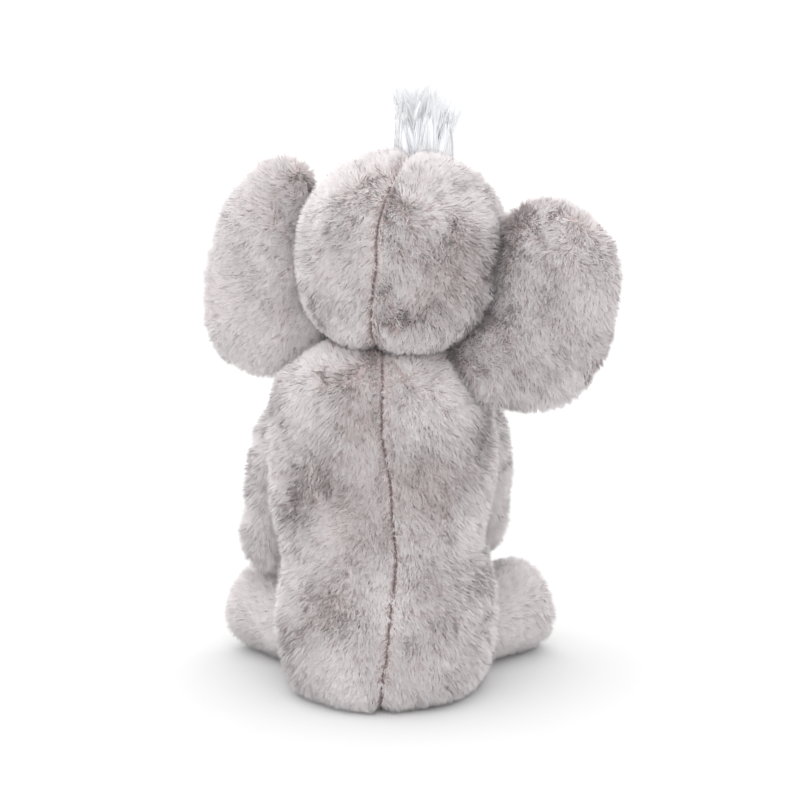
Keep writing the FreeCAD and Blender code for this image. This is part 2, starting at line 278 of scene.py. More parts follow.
def pile_material(name, root, low, high, rough=0.8, sheen=0.08):
    """Fibre colour: V of the pile's own map runs root to tip, U picks each fibre's tone; the darker
    colour at the root is painted shade for the depth of the pile.
    """
    mat, tree, shader = new_material(name)
    uv = tree.nodes.new("ShaderNodeUVMap")
    uv.uv_map = "OFBake"
    split = tree.nodes.new("ShaderNodeSeparateXYZ")
    tree.links.new(uv.outputs[0], split.inputs[0])
    shade = tree.nodes.new("ShaderNodeValToRGB")
    shade.color_ramp.elements[0].color = (*root, 1)
    shade.color_ramp.elements[1].color = (*high, 1)
    shade.color_ramp.elements.new(0.3).color = (*low, 1)
    tree.links.new(split.outputs[0], shade.inputs[0])
    # Painted shade: towards each fibre's root its colour darkens to the root colour.
    depth = tree.nodes.new("ShaderNodeValToRGB")
    depth.color_ramp.elements[0].position = 0.05
    depth.color_ramp.elements[0].color = (0, 0, 0, 1)
    depth.color_ramp.elements[1].position = 0.75
    depth.color_ramp.elements[1].color = (1, 1, 1, 1)
    tree.links.new(split.outputs[1], depth.inputs[0])
    mix = tree.nodes.new("ShaderNodeMix")
    mix.data_type = "RGBA"
    mix.inputs[6].default_value = (*root, 1)
    tree.links.new(depth.outputs[0], mix.inputs[0])
    tree.links.new(shade.outputs[0], mix.inputs[7])
    tree.links.new(mix.outputs[2], shader.inputs["Base Color"])
    shader.inputs["Roughness"].default_value = rough
    shader.inputs["Sheen Weight"].default_value = sheen
    shader.inputs["Sheen Roughness"].default_value = 0.5
    shader.inputs["Specular IOR Level"].default_value = 0.25
    return mat


def backing_material(name, dark, light):
    """Knitted backing under the pile: fine stitches in colour and bump; its dark colours are painted
    shade, so the gaps in the pile read as deep shadow.
    """
    mat, tree, shader = new_material(name)
    where = tree.nodes.new("ShaderNodeTexCoord")
    knit = tree.nodes.new("ShaderNodeTexNoise")
    knit.inputs["Scale"].default_value = 900
    knit.inputs["Detail"].default_value = 3
    tree.links.new(where.outputs["Object"], knit.inputs["Vector"])
    ramp = tree.nodes.new("ShaderNodeValToRGB")
    ramp.color_ramp.elements[0].position = 0.35
    ramp.color_ramp.elements[0].color = (*dark, 1)
    ramp.color_ramp.elements[1].position = 0.7
    ramp.color_ramp.elements[1].color = (*light, 1)
    tree.links.new(knit.outputs[0], ramp.inputs[0])
    tree.links.new(ramp.outputs[0], shader.inputs["Base Color"])
    bump = tree.nodes.new("ShaderNodeBump")
    bump.inputs["Strength"].default_value = 0.5
    bump.inputs["Distance"].default_value = 0.0006
    tree.links.new(knit.outputs[0], bump.inputs["Height"])
    tree.links.new(bump.outputs[0], shader.inputs["Normal"])
    shader.inputs["Roughness"].default_value = 0.9
    return mat


# Each set of fibre colours is its root, low and high colour; the darker root colour is painted shade
# deep in the pile.
GREY_FIBRES = ((0.74, 0.67, 0.665), (0.79, 0.748, 0.75), (0.90, 0.87, 0.882))
PINKISH_FIBRES = ((0.66, 0.55, 0.54), (0.78, 0.70, 0.70), (0.88, 0.82, 0.82))
GREY_PILE = pile_material("grey_pile", *GREY_FIBRES)
LINING_PILE = pile_material("lining_pile", *PINKISH_FIBRES)
SOLE_PILE = pile_material("sole_pile", *PINKISH_FIBRES)
WHITE_HAIR = pile_material("white_hair", (0.96, 0.97, 1.0), (0.93, 0.945, 0.98),
                           (1.0, 1.0, 1.0), 0.55, 0.3)
# The backings' dark colours are painted shade for the gaps between the fibres.
BACKING = backing_material("grey_backing", (0.40, 0.32, 0.32), (0.56, 0.48, 0.48))
PALE_BACKING = backing_material("pale_backing", (0.45, 0.36, 0.36), (0.60, 0.52, 0.52))
FILLING = backing_material("fibre_filling", (0.74, 0.73, 0.70), (0.90, 0.89, 0.87))
# The seam thread is real, but its near-black colour is painted shade for the seams' grooves.
THREAD = backing_material("seam_thread", (0.14, 0.11, 0.11), (0.27, 0.23, 0.23))


# ---------------------------------------------------------------- pieces
def mesh_object(name, verts, faces, material, smooth=True):
    mesh = bpy.data.meshes.new(name)
    mesh.from_pydata([tuple(v) for v in verts], [], [tuple(f) for f in faces])
    mesh.materials.append(material)
    if smooth:
        mesh.shade_smooth()
    obj = bpy.data.objects.new(name, mesh)
    bpy.context.collection.objects.link(obj)
    return obj


def attach(obj, body):
    """Ride on a body, or, when body is (first, second, start, end), keep the piece where it is with
    its transform baked into its mesh.
    """
    if isinstance(body, str):
        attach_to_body(obj, body)
    else:
        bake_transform(obj)


def skin_piece(node, form, chosen, material, body, thick=1.4):
    """The cloth of one panel, cut from the whole form, with its thickness and cut edge."""
    outer = [form.faces[i] for i in np.flatnonzero(chosen)]
    used = sorted({v for f in outer for v in f})
    index = {v: i for i, v in enumerate(used)}
    outer = [[index[v] for v in f] for f in outer]
    inner_verts = form.verts[used] - form.normals()[used] * thick * MM
    verts = form.place.points(np.vstack([form.verts[used], inner_verts]))
    shift = len(used)
    edges = {}
    for f in outer:
        for a, b in zip(f, f[1:] + f[:1]):
            edges[(a, b)] = edges.get((a, b), 0) + 1
    rim = [[b, a, a + shift, b + shift] for a, b in edges if (b, a) not in edges]
    faces = outer + [[v + shift for v in reversed(f)] for f in outer] + rim
    obj = mesh_object(node + "_skin", verts, faces, material)
    attach(obj, body)
    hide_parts(node)


def filling_piece(node, form, body, inset=3.0, floor=1.2):
    """The loose fibre filling inside a form: lumpy, and clear of the cloth round it."""
    lumps = waves(form.place.points(form.verts), 0.012, 41) * 0.35
    verts = form.place.points(form.verts - form.normals() * ((inset - lumps) * MM)[:, None])
    verts[:, 2] = np.maximum(verts[:, 2], floor * MM)
    obj = mesh_object(node + "_fill", verts, form.faces, FILLING)
    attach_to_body(obj, body)
    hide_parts(node)


def stitches(name, points, normals, along, body, seed, long=3.1, thick=0.65):
    """A sewn line: short plump stitches of thread laid end to end along the points."""
    rng = np.random.default_rng(seed)
    verts, faces = [], []
    sides, rings = 6, 5
    for p, n, t in zip(points, normals, along):
        t = unit(t + n * rng.normal(scale=0.05))
        side = unit(np.cross(n, t))
        swing = rng.normal(scale=0.16)
        t = unit(t + side * swing)
        base = len(verts)
        for i in range(rings):
            a = -1 + 2 * i / (rings - 1)
            radius = thick * MM * math.sqrt(max(1.04 - a * a, 0.03))
            rise = (1 - a * a) * thick * 0.5 * MM
            for j in range(sides):
                b = j / sides * 2 * math.pi
                verts.append(p + t * a * long * MM / 2 + n * rise
                             + (side * math.cos(b) + n * math.sin(b)) * radius)
        for i in range(rings - 1):
            for j in range(sides):
                k = (j + 1) % sides
                faces.append((base + i * sides + j, base + i * sides + k,
                              base + (i + 1) * sides + k, base + (i + 1) * sides + j))
        faces.append(tuple(base + j for j in reversed(range(sides))))
        faces.append(tuple(base + (rings - 1) * sides + j for j in range(sides)))
    obj = mesh_object(name, verts, faces, THREAD)
    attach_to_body(obj, body)


def seam_stitches(name, form, on_line, order, body, seed, step=3.1, sink=0.15):
    """Stitches along the form's vertices on a seam line, which lies in its groove."""
    picked = np.flatnonzero(on_line)
    picked = picked[np.argsort(form.verts[picked, order])]
    line = form.place.points(form.verts[picked])
    normal = form.place.ways(form.normals()[picked])
    run = np.concatenate([[0], np.cumsum(np.linalg.norm(np.diff(line, axis=0), axis=1))])
    at = np.arange(step / 2 * MM, run[-1], step * MM)
    points = np.stack([np.interp(at, run, line[:, k]) for k in range(3)], 1)
    normals = unit(np.stack([np.interp(at, run, normal[:, k]) for k in range(3)], 1))
    along = unit(np.gradient(points, axis=0))
    stitches(name, points - normals * sink * MM, normals, along, body, seed)


def sample(form, chosen, count, rng):
    """Random places spread evenly over the chosen faces, count to a square millimetre: their
    position, normal, distance to the nearest seam and the way away from it, in own frame."""
    tris = []
    for i in np.flatnonzero(chosen):
        f = form.faces[i]
        tris.append(f[:3])
        if len(f) == 4:
            tris.append((f[0], f[2], f[3]))
    tris = np.array(tris)
    a, b, c = (form.verts[tris[:, k]] for k in range(3))
    area = np.linalg.norm(np.cross(b - a, c - a), axis=1) / 2
    number = int(count * area.sum() / MM ** 2)
    pick = rng.choice(len(tris), size=number, p=area / area.sum())
    s, t = rng.random(number), rng.random(number)
    over = s + t > 1
    s[over], t[over] = 1 - s[over], 1 - t[over]
    weight = np.stack([1 - s - t, s, t], 1)[:, :, None]

    def at(values):
        return (values[tris[pick]] * weight).sum(1)

    return at(form.verts), unit(at(form.normals())), at(form.gap[:, None])[:, 0], at(form.away)


def fibres(name, form_place, p, n, lay, length, lean, tone, material, slot, node, body, rng,
           per=7, spread=0.6, width=0.27, gather=0.5, ragged=0.24, bent=0.2, softness=0.88,
           shade=0.11):
    """Locks of tapered fibres as real geometry: most are one long triangle, and the bent share
    has a quad below a triangle.  p, n and lay are the locks' roots, normals and the way they
    lean, in the form's own frame; length is in mm and lean in radians from the normal."""
    lay = unit(lay - n * (lay * n).sum(1, keepdims=True))
    side = np.cross(n, lay)
    own = np.repeat(np.arange(len(p)), per)
    total = len(own)
    normal = n[own]
    off = rng.normal(scale=spread * MM, size=(total, 2))
    offset = lay[own] * off[:, :1] + side[own] * off[:, 1:]
    start = p[own] + offset
    long = (length[own] * MM * rng.uniform(0.78, 1.1, total))[:, None]
    lean_own = np.clip(lean[own] + rng.normal(scale=ragged, size=total), 0.02, 1.3)
    yaw = rng.normal(scale=ragged * 1.5, size=total)
    way = lay[own] * np.cos(yaw)[:, None] + side[own] * np.sin(yaw)[:, None]

    def heading(angle):
        return normal * np.cos(angle)[:, None] + way * np.sin(angle)[:, None]

    low, high = heading(lean_own * 0.7), heading(np.minimum(lean_own * 1.25, 1.5))
    middle = start + low * long * 0.5 - offset * gather * 0.4
    tip = start + (low + high) * long * 0.5 - offset * gather
    roll = rng.normal(scale=0.6, size=total)
    flat = unit(np.cross(low, normal) + 1e-9)
    across = flat * np.cos(roll)[:, None] + np.cross(flat, low) * np.sin(roll)[:, None]
    half = across * (width * MM / 2 * rng.uniform(0.7, 1.3, total))[:, None]
    face = np.cross(half, tip - start)
    turned = np.where((face * normal).sum(1) < 0, -1.0, 1.0)[:, None]
    half, face = half * turned, face * turned
    soft = unit(normal * softness + unit(face) * (1 - softness))
    tint = np.clip(tone[own] + rng.normal(scale=shade, size=total), 0.02, 0.98)

    two = rng.random(total) < bent
    one = ~two
    n_one, n_two = int(one.sum()), int(two.sum())
    verts = np.concatenate([
        np.stack([start - half, start + half, tip], 1)[one].reshape(-1, 3),
        np.stack([start - half, start + half, middle + half * 0.8, middle - half * 0.8, tip],
                 1)[two].reshape(-1, 3)])
    normals = np.concatenate([np.repeat(soft[one], 3, axis=0), np.repeat(soft[two], 5, axis=0)])
    base = n_one * 3 + np.arange(n_two)[:, None] * 5
    loops = np.concatenate([np.arange(n_one * 3),
                            (base + np.array([0, 1, 2, 3, 3, 2, 4])).reshape(-1)])
    starts = np.concatenate([np.arange(n_one) * 3,
                             (n_one * 3 + np.arange(n_two)[:, None] * 7
                              + np.array([0, 4])).reshape(-1)])
    nudge = 0.004
    uv_one = np.stack([np.stack([tint[one] - nudge, tint[one] + nudge, tint[one]], 1),
                       np.tile([0.02, 0.02, 0.98], (n_one, 1))], 2).reshape(-1, 2)
    left, right = tint[two] - nudge, tint[two] + nudge
    uv_two = np.stack([np.stack([left, right, right, left, left, right, tint[two]], 1),
                       np.tile([0.02, 0.02, 0.5, 0.5, 0.5, 0.5, 0.98], (n_two, 1))],
                      2).reshape(-1, 2)

    world = form_place.points(verts)
    world[:, 2] = np.maximum(world[:, 2], 0.25 * MM)
    mesh = bpy.data.meshes.new(name)
    mesh.vertices.add(len(world))
    mesh.loops.add(len(loops))
    mesh.polygons.add(len(starts))
    mesh.vertices.foreach_set("co", world.astype(np.float32).reshape(-1))
    mesh.loops.foreach_set("vertex_index", loops.astype(np.int32))
    mesh.polygons.foreach_set("loop_start", starts.astype(np.int32))
    mesh.update(calc_edges=True)
    layer = mesh.uv_layers.new(name="OFBake")
    layer.data.foreach_set("uv", np.concatenate([uv_one, uv_two]).astype(np.float32).reshape(-1))
    mesh.polygons.foreach_set("use_smooth", np.ones(len(starts), bool))
    mesh.normals_split_custom_set_from_vertices(form_place.ways(normals).astype(np.float32))
    mesh.materials.append(material)
    obj = bpy.data.objects.new(name, mesh)
    bpy.context.collection.objects.link(obj)
    attach(obj, body)
    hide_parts(node)


def pile(node, form, chosen, body, material, slot, seed, density=0.95, length=5.4, lean=0.68,
         comb=(0, 0, -1), swirl=0.4, keep=None, trim=None, **look):
    """Cover a panel with locks: combed one way, swirled by slow noise, parted at its seams."""
    rng = np.random.default_rng(seed)
    p, n, gap, away = sample(form, chosen, density, rng)
    world = form.place.points(p)
    stay = gap > SEAM_GAP * MM
    if keep is not None:
        stay &= keep(world)
    p, n, gap, away, world = p[stay], n[stay], gap[stay], away[stay], world[stay]
    way = np.array([waves(world, 0.040, 11 + k) for k in range(3)]).T
    fine = np.array([waves(world, 0.012, 21 + k) for k in range(3)]).T
    facing_up = ease(0.3, 0.9, form.place.ways(n)[:, 2])[:, None]
    comb = np.array(comb, float) + facing_up * np.array(UP_COMB)
    lay = (comb + way * swirl + fine * swirl * 0.5) @ form.place.r
    stand = waves(world, 0.030, 31) * 0.15 + waves(world, 0.008, 32) * 0.15
    leans = np.clip(lean + stand - 0.3 * ruffled_and_shaded(world), 0.12, 1.2)
    lengths = length * (1 + 0.05 * waves(world, 0.02, 33) - 0.25 * ruffled_and_shaded(world))
    if trim is not None:
        lengths = lengths * trim(world)
    near = np.exp(-(gap / (3.2 * MM)) ** 2)
    across = np.minimum((lay * away).sum(1), 0) * ease(9 * MM, 5 * MM, gap)
    lay = lay + away * (near * 2.2 - across)[:, None]
    lengths = lengths * (1 - 0.35 * near)
    leans = leans + 0.15 * near
    # The tone is darker where the pile is rubbed up: painted shade.
    tone = np.clip(0.56 - 0.5 * ruffled_and_shaded(world) + 0.14 * waves(world, 0.045, 34)
                   + 0.16 * waves(world, 0.006, 35) + rng.normal(scale=0.12, size=len(p)), 0, 1)
    fibres(node + "_pile", form.place, p, n, lay, lengths, leans, tone, material, slot,
           node, body, rng, **look)


# ---------------------------------------------------------------- the toy's forms
TORSO_RINGS = [
    (0, 0, 0, 38), (0, 3, 0, 45), (0, 9, 0, 48.5), (-1, 20, 0, 51), (-2, 33, 0, 51.5),
    (-3, 50, 0, 50), (-3, 68, 0, 46), (-2, 88, 0, 42.5), (-1, 108, 0, 41.5), (0, 130, 0, 42),
    (0, 144, 0, 42), (0, 154, 0, 41), (0, 161, 0, 38), (0, 167, 0, 33), (0, 172, 0, 25),
    (0, 174, 0, 14),
]
HEAD_RINGS = [
    (0, 0.5, 0, 14), (0, 2.5, 0, 24), (0, 7.5, 0, 33.5), (-1, 16, 0, 41), (-2, 27, 0, 45.5),
    (-2, 42, 0, 47.5), (-1, 58, 0, 46), (0, 72, 0, 39), (1, 82, 0, 29), (1, 88, 0, 18),
    (1, 90.5, 0, 9),
]
TRUNK_RINGS = [
    (-29.7, 48.6, 125, 8), (-32.6, 46.6, 125, 12.5), (-42, 40, 125, 17),
    (-53.5, 32, 130, 16.5), (-62.5, 21.3, 145, 15.5), (-68.4, 8.6, 153, 14.2),
    (-75.4, -3.5, 142, 13.2), (-84.6, -11.2, 122, 12.6), (-92.1, -13.9, 108, 11.8),
    (-95, -14.6, 104, 9),
]
ARM_RINGS = [
    (0, -27, 0, 3), (0, -24, 0, 5), (0, -16, 0, 8), (0, -8, 0, 11), (0, 0, 0, 13.2),
    (0, 8, 0, 13.7), (0, 22, 0, 13.2), (0, 42, 0, 13.4), (0, 57, 0, 14.8), (0, 66, 0, 14.8),
    (0, 73, 0, 12.2), (0, 76.5, 0, 8.9), (0, 78.5, 0, 4.5),
]
LEG_RINGS = [
    (0, -19, 0, 6.5), (0, -16, 0, 12), (0, -8.5, 0, 18.1), (0, 0, 0, 20), (0, 15, 0, 21.2),
    (0, 28, 0, 22), (0, 35.5, 0, 21), (0, 38, 0, 18),
]
LIMBS = {
    "arm_left": ((47.5, -14, 123), (0.14, -0.36, -0.92)),
    "arm_right": ((-43.5, -24, 123), (-0.02, -0.50, -0.866)),
    "leg_left": ((41, -34, 20.2), (0.65, -0.755, 0.083)),
    "leg_right": ((-43.5, -35, 20.2), (-0.72, -0.69, 0.083)),
}
PILE_DEPTH = 2.0
SEAM_GAP = 1.25          # no pile is rooted nearer to a seam than this, in mm
UP_COMB = (0, -0.7, 0)   # upward-facing pile lies towards the front
COLLAR_HEIGHT = 0.170    # the torso has no pile above this height, in metres

# Where the pile is rubbed up and painted darker as shade: x, y and z of the middle of each patch and
# its size, in mm.
RUFFLED_SHADED_PATCHES = (
    (21, 40, 106, 27), (-20, 40, 110, 18), (28, 45, 52, 16), (-24, 45, 60, 13),
    (-26, 40, 205, 20), (-82, 5, 168, 24), (62, 5, 235, 16), (10, 40, 140, 13),
)

# How far the torso swells out over each arm, the heights over which the swelling grows, and
# those over which it fades again, all in mm.
SWELL_LEFT, SWELL_RIGHT = 12.0, 9.5
RISE_LEFT, RISE_RIGHT = (62, 96), (72, 106)
SWELL_END = (146, 172)

# The fuller top of each arm: its middle down from the root, its spread, and how far it
# stands out sideways and backwards, in mm.
ARM_TOP, ARM_TOP_SPREAD = 26, 18
ARM_OUT, ARM_BACK = 3.0, 5


def groove(form, depth, width=3.5):
    """Draw the cloth in along the form's seams."""
    form.push(-depth * MM * np.exp(-(form.gap / (width * MM)) ** 2))


def wander(form, offset):
    """Shift the middle of the back sideways by offset(z) in mm, as a hand-sewn seam wanders."""
    x, y, z = form.verts.T / MM
    share = np.exp(-(x / 24) ** 2) * ease(0, 12, y)
    form.verts[:, 0] += offset(z) * share * MM


def inside_torso(world, margin):
    """True where a point lies under the torso's own skin by the margin, in mm."""
    rows = np.array(TORSO_RINGS, float)
    radius = np.interp(world[:, 2] / MM, rows[:, 1], rows[:, 3]) - PILE_DEPTH - margin
    centre = np.interp(world[:, 2] / MM, rows[:, 1], rows[:, 0])
    flat = np.hypot(world[:, 0] / MM, world[:, 1] / MM - centre)
    top = rows[-1, 1] * MM
    return (flat < radius) & (world[:, 2] > margin * MM) & (world[:, 2] < top)


def inside_head(world, margin):
    """True where a point lies under the head's own skin by the margin, in mm."""
    local = (world - HEAD.o) @ HEAD.r
    rows = np.array(HEAD_RINGS, float)
    radius = np.interp(local[:, 2] / MM, rows[:, 1], rows[:, 3], left=0, right=0)
    return np.hypot(local[:, 0] / MM, local[:, 1] / MM) < radius - PILE_DEPTH - margin


def outside_torso(world):
    return ~inside_torso(world, 3.0)


# Locks to a square millimetre on each panel of the torso.
DENSITY = {"seat_panel": 0.2, "tummy_panel": 0.72, "back_panel_left": 0.95,
           "back_panel_right": 0.95}


def shoulders(form):
    """Swell the torso's sides out over the tops of the arms, further back lower down."""
    x, y, z = form.verts.T / MM
    swell = np.where(x > 0, SWELL_LEFT, SWELL_RIGHT) * (np.abs(x) / 42) ** 1.6
    low = np.where(x > 0, ease(*RISE_LEFT, z), ease(*RISE_RIGHT, z))
    lower = ease(125, 95, z)
    swell *= low * (1 - ease(*SWELL_END, z))
    swell *= np.exp(-((y + 2 - 12 * lower) / (30 - 7 * lower)) ** 2)
    form.verts[:, 0] += np.sign(x) * swell * MM


def ruffled_and_shaded(world):
    """How far the pile is rubbed up here, from 0 to 1: a few patches on the back and head, where the
    fibres are also painted darker as shade.
    """
    up = np.zeros(len(world))
    for x, y, z, size in RUFFLED_SHADED_PATCHES:
        away = np.linalg.norm(world / MM - [x, y, z], axis=1)
        up = np.maximum(up, np.exp(-(away / size) ** 2))
    return up


def near_zero(v):
    """True where a coordinate is zero, as it is all along a seam's plane."""
    return np.abs(v) < 0.02 * MM


def build_torso():
    form = tube(TORSO_RINGS, 80, 4, WORLD, PILE_DEPTH)
    x, y, z = form.verts.T
    back_seam = near_zero(x) & (y > 0)
    side_seam = near_zero(y) & (np.abs(x) > 10 * MM)
    puff(form, back_seam | side_seam | (z < 3 * MM) | (z > 168 * MM), 3.0)
    shoulders(form)
    form.push(0.9 * MM * waves(form.verts, 0.035, 3))
    form.sew(form.verts[:, 1] > 0)
    groove(form, 2.2)
    form.verts[:, 2] = np.maximum(form.verts[:, 2], 0.0)
    c = form.face_centres()
    low = c[:, 2] < 2.5 * MM
    rear = (c[:, 1] > 0) & ~low
    wander(form, lambda z: 3.0 * np.cos(z / 24) - 1.2 + 0.5 * np.sin(z / 6.5))
    panels = {
        "seat_panel": low,
        "tummy_panel": (c[:, 1] <= 0) & ~low,
        "back_panel_left": rear & (c[:, 0] > 0),
        "back_panel_right": rear & (c[:, 0] <= 0),
    }

    def shows(world):
        return ~(inside_head(world, 2.0) | (world[:, 2] > COLLAR_HEIGHT))

    def trim(world):
        return 1 - 0.4 * ease(0.150, 0.164, world[:, 2])

    for seed, (node, chosen) in enumerate(panels.items(), start=101):
        skin_piece(node, form, chosen, BACKING, "torso")
        thin = node == "seat_panel"
        pile(node, form, chosen, "torso", GREY_PILE, "plush_grey", seed,
             density=DENSITY[node], length=4 if thin else 5.4,
             lean=1.25 if thin else 0.68, comb=(0, 0, -0.75), keep=shows, trim=trim)
    filling_piece("body_stuffing", form, "torso")
    z = form.verts[:, 2]
    seam_stitches("back_seam_stitches", form, back_seam & (z > 4 * MM) & (z < 166 * MM), 2,
                  "torso", 181)


def build_head():
    form = tube(HEAD_RINGS, 80, 5, HEAD, 0.2)
    x, y, z = form.verts.T
    back_seam = near_zero(x) & (y > 0)
    face_edge = (np.abs(np.abs(x) - 20 * MM) < 1.6 * MM) & (y < 0)
    puff(form, back_seam | face_edge | (z < 4 * MM), 3.0)
    form.push(0.8 * MM * waves(form.place.points(form.verts), 0.033, 4))
    form.sew(form.verts[:, 1] > 0)
    groove(form, 2.0)
    c = form.face_centres()
    wander(form, lambda z: 0.8 * np.sin(z / 9) + 0.4 * np.sin(z / 4.2))
    face = (np.abs(c[:, 0]) < 20 * MM) & (c[:, 1] < 0)
    panels = {
        "face_panel": face,
        "head_panel_left": ~face & (c[:, 0] > 0),
        "head_panel_right": ~face & (c[:, 0] <= 0),
    }

    def shows(world):
        clear = ~inside_torso(world, 1.5)
        for lo, hi in EYES:
            middle = (np.array(lo) + np.array(hi)) / 2
            clear &= np.linalg.norm(world - middle, axis=1) > 6.4 * MM
        return clear

    def trim(world):
        low = (world - HEAD.o) @ HEAD.r[:, 2]
        factor = 1 - 0.4 * (1 - ease(0.008, 0.022, low))
        for lo, hi in EYES:
            middle = (np.array(lo) + np.array(hi)) / 2
            away = np.linalg.norm(world - middle, axis=1)
            factor = factor * (0.4 + 0.6 * ease(0.007, 0.015, away))
        return factor

    for seed, (node, chosen) in enumerate(panels.items(), start=111):
        skin_piece(node, form, chosen, BACKING, "head")
        pile(node, form, chosen, "head", GREY_PILE, "plush_grey", seed,
             comb=(0.1, 0, -0.6), keep=shows, trim=trim)
    filling_piece("head_stuffing", form, "head")
    seam_stitches("head_seam_stitches", form, back_seam & (form.verts[:, 2] > 9 * MM), 2,
                  "head", 185)


def build_trunk():
    form = tube(TRUNK_RINGS, 40, 4, HEAD, 2.0)
    sewn = near_zero(form.verts[:, 0]) | (form.verts[:, 1] > -38 * MM)
    puff(form, sewn, 1.6)
    c = form.face_centres()

    def shows(world):
        return ~inside_head(world, 2.0)

    for seed, (node, chosen) in enumerate((("trunk_panel_left", c[:, 0] > 0),
                                           ("trunk_panel_right", c[:, 0] <= 0)), start=121):
        skin_piece(node, form, chosen, BACKING, "trunk")
        pile(node, form, chosen, "trunk", GREY_PILE, "plush_grey", seed,
             length=5.5, lean=0.75, comb=(0, -0.4, -1), swirl=0.5, keep=shows)
    filling_piece("trunk_stuffing", form, "trunk")


def build_ears():
    # side: reach out and in, rise, droop of the outer edge, flare of the lower half, drop
    # and how far its lower root corner tucks in and comes back, in mm
    shapes = {1: (34, 23, 51, 0.10, 0.14, 0, 8, 0), -1: (39, 24, 48, 0.03, -0.06, -1, 11, 8)}
    for side, name in ((1, "left"), (-1, "right")):
        out, inner, rise, droop, flare, drop, tuck, back = shapes[side]
        place = ear_place(side)
        form = pillow(out, inner, rise, 10.5, 18, place)
        edge = near_zero(form.verts[:, 1])
        u, w = form.verts[:, 0].copy(), form.verts[:, 2].copy()
        form.verts[:, 0] = u * (1 - flare * w / (rise * MM))
        form.verts[:, 2] = w - droop * u - drop * MM
        corner = ease(4 * MM, -38 * MM, w) * ease(34 * MM, 0, u)
        form.verts[:, 0] -= corner * tuck * MM
        form.verts[:, 1] += corner * side * back * MM
        puff(form, edge | (form.verts[:, 0] < 2 * MM), 2.0)
        form.push(0.8 * MM * waves(form.place.points(form.verts), 0.03, 5))
        c = form.face_centres()
        rear = c[:, 1] * side > 0
        outward = place.r[:, 0]
        body = "ear_" + name

        def shows(world):
            return ~(inside_head(world, 2.0) | inside_torso(world, -3.0))

        skin_piece("ear_back_" + name, form, rear, BACKING, body)
        skin_piece("ear_lining_" + name, form, ~rear, PALE_BACKING, body)
        pile("ear_back_" + name, form, rear, body, GREY_PILE, "plush_grey", 131 + side,
             comb=outward * 0.5 + [0, 0, -0.4], keep=shows)
        pile("ear_lining_" + name, form, ~rear, body, LINING_PILE, "ear_lining_pile",
             141 + side, length=5.5, lean=0.8, comb=outward * 0.5 + [0, 0, -0.4], keep=shows)
        filling_piece("ear_padding_" + name, form, body)


def build_arms():
    for seed, name in ((151, "left"), (153, "right")):
        place = limb_place(*LIMBS["arm_" + name])
        form = tube(ARM_RINGS, 40, 4, place, PILE_DEPTH)
        sewn = near_zero(form.verts[:, 0]) | (form.verts[:, 2] < -8 * MM)
        puff(form, sewn, 1.8)
        top = np.exp(-((form.verts[:, 2] / MM - ARM_TOP) / ARM_TOP_SPREAD) ** 2)
        out = np.maximum(form.verts[:, 0], 0) / (13 * MM)
        form.verts[:, 0] += ARM_OUT * MM * top * out
        rear = place.r[1]
        share = (top * ease(0, 10 * MM, form.verts @ rear))[:, None]
        form.verts += ARM_BACK * MM * share * rear
        form.push(0.5 * MM * waves(form.place.points(form.verts), 0.03, 6))
        c = form.face_centres()
        bend = 15 * MM * place.r[:, 2]
        shoulder = ("torso", "arm_" + name, place.o - bend, place.o + bend)
        for k, part in enumerate(("outer", "inner")):
            node = f"arm_{part}_{name}"
            chosen = c[:, 0] > 0 if part == "outer" else c[:, 0] <= 0
            skin_piece(node, form, chosen, BACKING, shoulder)
            pile(node, form, chosen, shoulder, GREY_PILE, "plush_grey", seed + k,
                 length=6.5, comb=(0, 0, -1), swirl=0.6, keep=outside_torso)
        inner = tube(ARM_RINGS[2:], 40, 4, place, PILE_DEPTH)
        filling_piece("arm_stuffing_" + name, inner, "arm_" + name)


def build_legs():
    for seed, name in ((161, "left"), (163, "right")):
        place = limb_place(*LIMBS["leg_" + name])
        form = tube(LEG_RINGS, 56, 4, place, PILE_DEPTH)
        sewn = (np.abs(form.verts[:, 2] - 35.5 * MM) < 1.5 * MM) | (form.verts[:, 2] < -8 * MM)
        puff(form, sewn, 1.8)
        form.push(0.5 * MM * waves(form.place.points(form.verts), 0.03, 7))
        world = form.place.points(form.verts)
        world[:, 2] = np.maximum(world[:, 2], 0.4 * MM)
        form.verts = (world - place.o) @ place.r
        c = form.face_centres()
        sole = c[:, 2] > 35.0 * MM
        skin_piece("leg_skin_" + name, form, ~sole, BACKING, "leg_" + name)
        skin_piece("sole_" + name, form, sole, PALE_BACKING, "leg_" + name)
        out = place.r[:, 2]
        pile("leg_skin_" + name, form, ~sole, "leg_" + name, GREY_PILE, "plush_grey", seed,
             comb=out * 0.5 + [0, 0, -0.4], keep=outside_torso)
        pile("sole_" + name, form, sole, "leg_" + name, SOLE_PILE, "sole_pile", seed + 1,
             length=4.5, comb=(0, 0, -1), keep=outside_torso)
        filling_piece("leg_stuffing_" + name, form, "leg_" + name)


def build_neck():
    """The stuffed neck, which the head and the shoulders hide."""
    lo, hi = (np.array(v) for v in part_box("neck_stuffing"))
    middle, half = (lo + hi) / 2, (hi - lo) / 2
    rings = [(0, -1, 0, 0.3), (0, -0.85, 0, 0.6), (0, -0.4, 0, 0.92), (0, 0, 0, 1),
             (0, 0.4, 0, 0.92), (0, 0.85, 0, 0.6), (0, 1, 0, 0.3)]
    form = tube([(y, z * 1000, t, r * 1000) for y, z, t, r in rings], 40, 4, WORLD, 0)
    form.verts = form.verts * half + middle
    filling_piece("neck_stuffing", form, "neck", inset=0.6)


